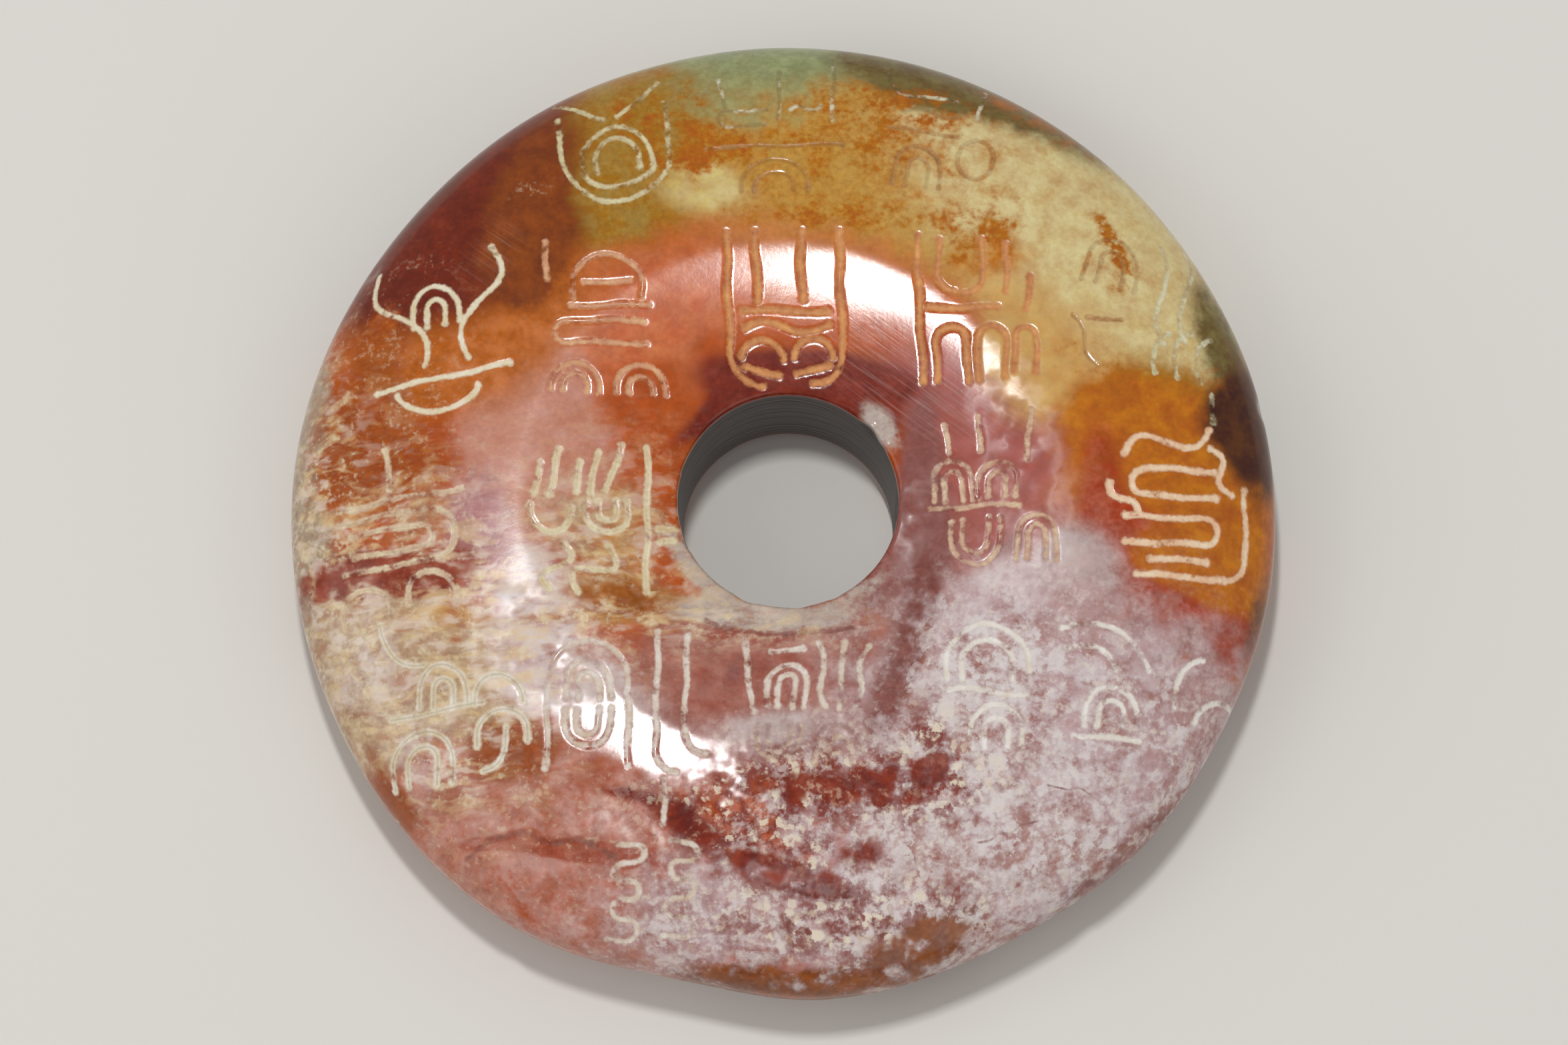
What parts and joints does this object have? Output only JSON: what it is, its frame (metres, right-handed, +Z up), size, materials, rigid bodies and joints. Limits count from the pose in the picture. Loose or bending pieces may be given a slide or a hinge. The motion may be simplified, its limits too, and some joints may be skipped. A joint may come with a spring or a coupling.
{
  "type": "jade ring pendant",
  "caption": "Thick doughnut-shaped jade disc with a central bore to hang it by, its front engraved with rows of strokes, lying on its plain back.",
  "frame": {"origin": "centre of the bounding box's underside, on the surface that the disc lies on", "axes": "+Z up out of the engraved face, along the bore; +Y towards the top of the engraved face; +X to the reader's right"},
  "size_m": [0.056, 0.0561, 0.0095],
  "materials": {
    "jade": "polished nephrite, stained orange, ochre and mauve by burial, with a pale calcified crust over part of the face"
  },
  "bodies": {
    "root": {"jade_disc": "jade"}
  },
  "joints": []
}
